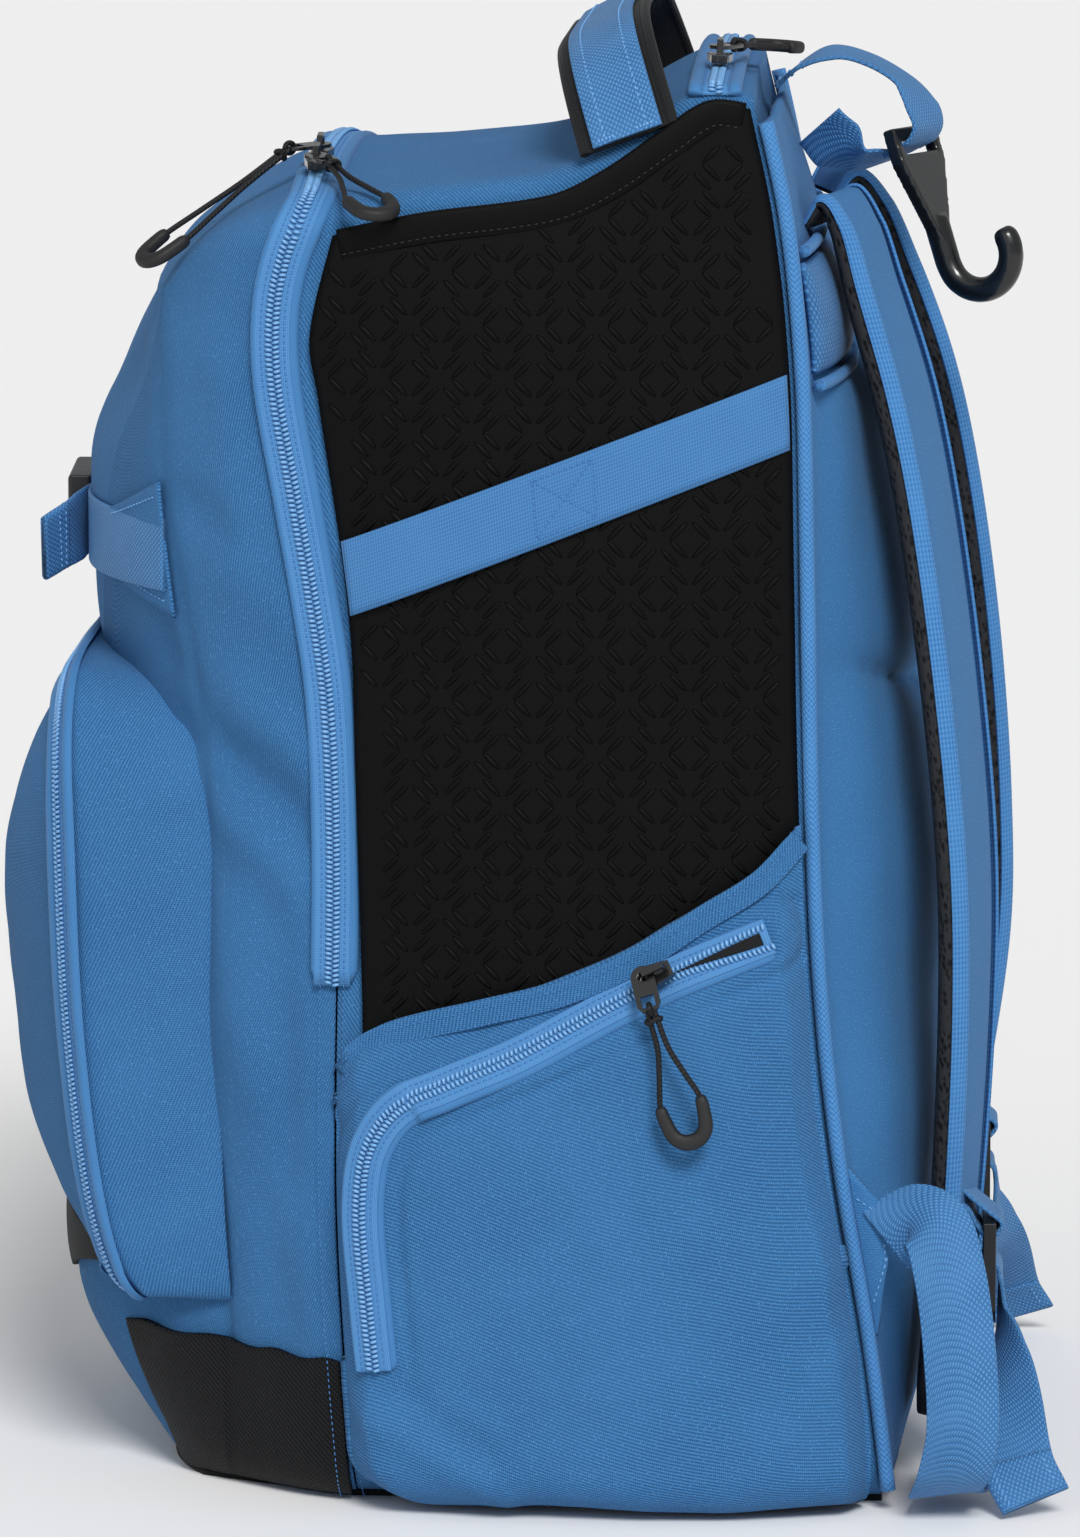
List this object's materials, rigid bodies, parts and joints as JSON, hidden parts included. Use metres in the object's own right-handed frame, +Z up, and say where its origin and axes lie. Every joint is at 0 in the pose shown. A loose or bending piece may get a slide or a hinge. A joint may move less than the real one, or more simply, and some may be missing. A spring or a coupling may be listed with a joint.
{
  "type": "baseball bat backpack",
  "caption": "Tall zipped sports backpack with stretch bat sleeves on its sides, front and side pockets, padded shoulder straps, a haul handle and a fence hook.",
  "frame": {"origin": "underside of the base, midway between the sides and under the bag's main compartment", "axes": "+X towards the wearer's right, +Y towards the padded back and the shoulder straps, +Z up"},
  "size_m": [0.3684, 0.3926, 0.5257],
  "materials": {
    "shell_cloth": "dense blue polyester canvas, fine diagonal weave",
    "pocket_cloth": "dense blue polyester canvas, fine diagonal weave",
    "toe_cloth": "black coarse canvas",
    "base_cloth": "black coarse ballistic canvas",
    "zip_tape": "light blue coil zip and tape",
    "back_padding": "quilted blue cloth over foam",
    "neoprene": "black embossed neoprene",
    "elastic_band": "blue ribbed elastic",
    "piping": "blue bound piping",
    "strap_padding": "blue cloth over foam, black air mesh inside",
    "buckle_plastic": "black moulded acetal",
    "webbing": "blue woven webbing",
    "handle_backing": "black padded webbing",
    "hook_plastic": "black moulded nylon with a soft sheen",
    "zip_metal": "glossy black lacquered zinc",
    "pull_cord": "black braided cord",
    "pull_grip": "matte black moulded grip"
  },
  "bodies": {
    "root": {"main_shell": "shell_cloth", "front_shell": "shell_cloth", "front_pocket": "pocket_cloth", "toe_band": "toe_cloth", "base_panel": "base_cloth", "main_zip": "zip_tape", "rear_zip": "zip_tape", "pocket_zip": "zip_tape", "back_panel": "back_padding", "back_roll_pad": "back_padding", "boot_right": "base_cloth", "sleeve_right": "neoprene", "side_pocket_right": "pocket_cloth", "elastic_right": "elastic_band", "piping_right": "piping", "side_zip_right": "zip_tape", "shoulder_strap_right": "strap_padding", "ladder_lock_right": "buckle_plastic", "strap_webbing_right": "webbing", "strap_wing_right": "webbing", "boot_left": "base_cloth", "sleeve_left": "neoprene", "side_pocket_left": "pocket_cloth", "elastic_left": "elastic_band", "piping_left": "piping", "side_zip_left": "zip_tape", "shoulder_strap_left": "strap_padding", "ladder_lock_left": "buckle_plastic", "strap_webbing_left": "webbing", "strap_wing_left": "webbing", "handle_pad": "handle_backing", "handle_webbing": "webbing", "fence_hook": "hook_plastic", "hook_loop": "webbing", "front_strap": "webbing", "front_buckle": "buckle_plastic", "side_pull_right_slider": "zip_metal", "side_pull_right_tab": "zip_metal", "side_pull_right_cord": "pull_cord", "side_pull_right_grip": "pull_grip", "side_pull_left_slider": "zip_metal", "side_pull_left_tab": "zip_metal", "side_pull_left_cord": "pull_cord", "side_pull_left_grip": "pull_grip", "rear_pull_slider": "zip_metal", "rear_pull_tab": "zip_metal", "rear_pull_cord": "pull_cord", "rear_pull_grip": "pull_grip", "pocket_pull_slider": "zip_metal", "pocket_pull_tab": "zip_metal", "pocket_pull_cord": "pull_cord", "pocket_pull_grip": "pull_grip", "main_pull_front_slider": "zip_metal", "main_pull_front_tab": "zip_metal", "main_pull_front_cord": "pull_cord", "main_pull_front_grip": "pull_grip", "main_pull_back_slider": "zip_metal", "main_pull_back_tab": "zip_metal", "main_pull_back_cord": "pull_cord", "main_pull_back_grip": "pull_grip"}
  },
  "joints": []
}
